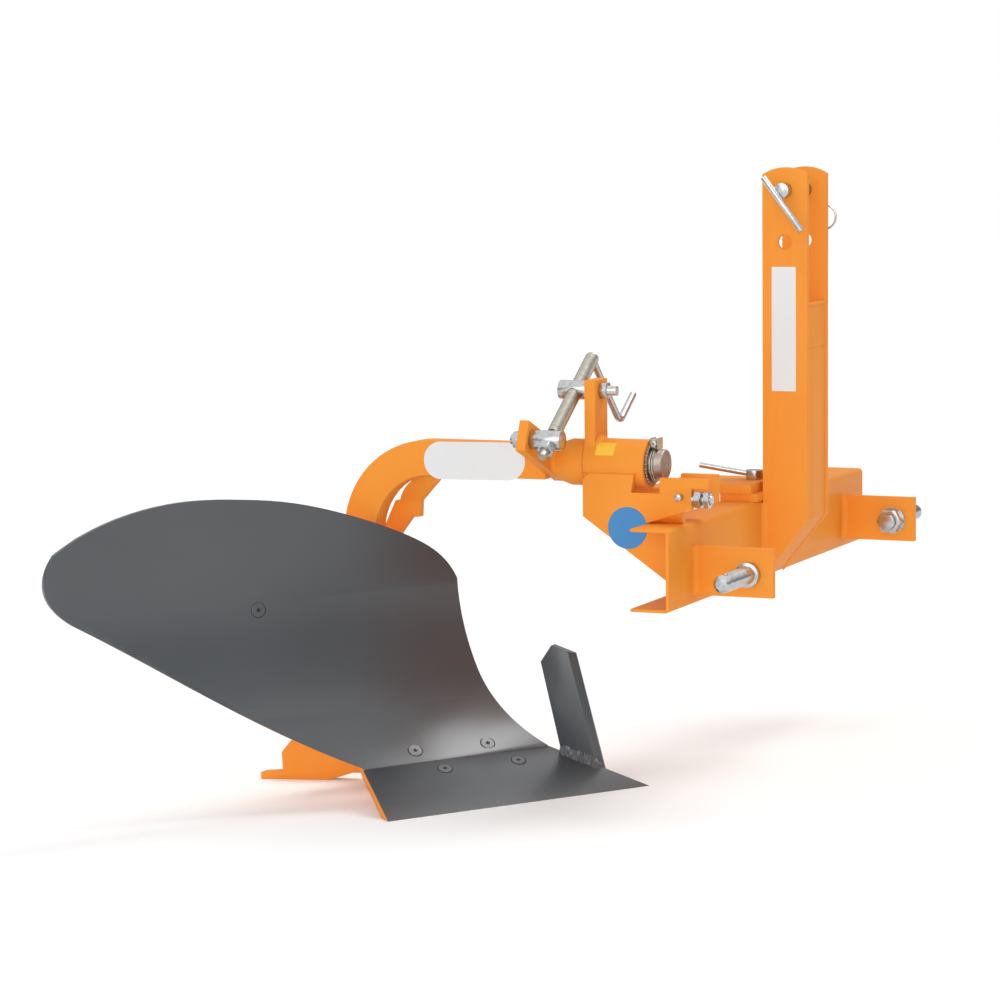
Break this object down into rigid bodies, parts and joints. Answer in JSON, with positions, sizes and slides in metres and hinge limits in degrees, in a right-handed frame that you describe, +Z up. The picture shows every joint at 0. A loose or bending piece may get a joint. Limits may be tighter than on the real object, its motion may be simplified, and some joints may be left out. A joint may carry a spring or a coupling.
{
  "type": "moldboard plough",
  "caption": "Single-furrow mounted moldboard plough: three-point headstock, turning barrel with crank screw, bent beam, slate moldboard, share, landside and coulter fin.",
  "frame": {"origin": "middle of the bounding box, on the floor", "axes": "+X is the direction of travel, towards the tractor; +Y is port, the landside; +Z is up from the floor"},
  "size_m": [0.8185, 1.0228, 0.7561],
  "materials": {
    "orange_paint": "satin",
    "slate_paint": "satin",
    "bright_zinc": "bright zinc",
    "yellow_zinc": "yellow zinc",
    "turned_steel": "oiled"
  },
  "bodies": {
    "headstock": {"cross_channel": "orange_paint", "mast_plate_starboard": "orange_paint", "mast_plate_port": "orange_paint", "mast_web": "orange_paint", "lug_starboard": "orange_paint", "lug_port": "orange_paint", "hitch_pin_starboard": "bright_zinc", "hitch_pin_port": "bright_zinc", "hitch_nut_starboard": "bright_zinc", "hitch_nut_port": "bright_zinc", "top_link_pin": "bright_zinc", "linch_pin": "bright_zinc", "barrel_tube": "orange_paint", "side_plate_starboard": "orange_paint", "side_plate_port": "orange_paint", "arm_plate": "orange_paint", "clamp_screw": "bright_zinc", "screw_post": "orange_paint"},
    "plough_body": {"beam_shaft": "orange_paint", "thrust_washer": "turned_steel", "retaining_clamp": "bright_zinc", "screw_arm": "orange_paint", "beam": "orange_paint", "knee_plate": "orange_paint", "share": "slate_paint", "mouldboard": "slate_paint", "landside": "orange_paint", "frog": "orange_paint", "leg_block": "orange_paint", "mouldboard_stay": "orange_paint", "coulter_fin": "slate_paint"},
    "upper_pivot": {"upper_trunnion": "bright_zinc"},
    "adjusting_screw": {"screw_rod": "yellow_zinc", "lower_trunnion": "bright_zinc", "rod_nut": "bright_zinc", "crank": "bright_zinc"}
  },
  "joints": [
    {"name": "beam_roll", "type": "hinge", "parent": "headstock", "child": "plough_body", "pos_m": [0.21822, -0.1731, 0.40926], "axis": [0.9985, 0, -0.0541], "range_deg": [-12, 12]},
    {"name": "upper_trunnion_swing", "type": "hinge", "parent": "headstock", "child": "upper_pivot", "pos_m": [0.16456, -0.1731, 0.5003], "axis": [0.9985, 0, -0.0541], "range_deg": [-6.2, 6.2]},
    {"name": "screw_slide", "type": "slide", "parent": "upper_pivot", "child": "adjusting_screw", "axis": [0.0301, 0.8305, 0.5562], "range_m": [-0.01561, 0.01561]}
  ],
  "couplings": [
    {"joint": "upper_trunnion_swing", "follows": "beam_roll", "ratio": 0.5},
    {"joint": "screw_slide", "follows": "beam_roll", "m_per_rad": -0.073084}
  ]
}
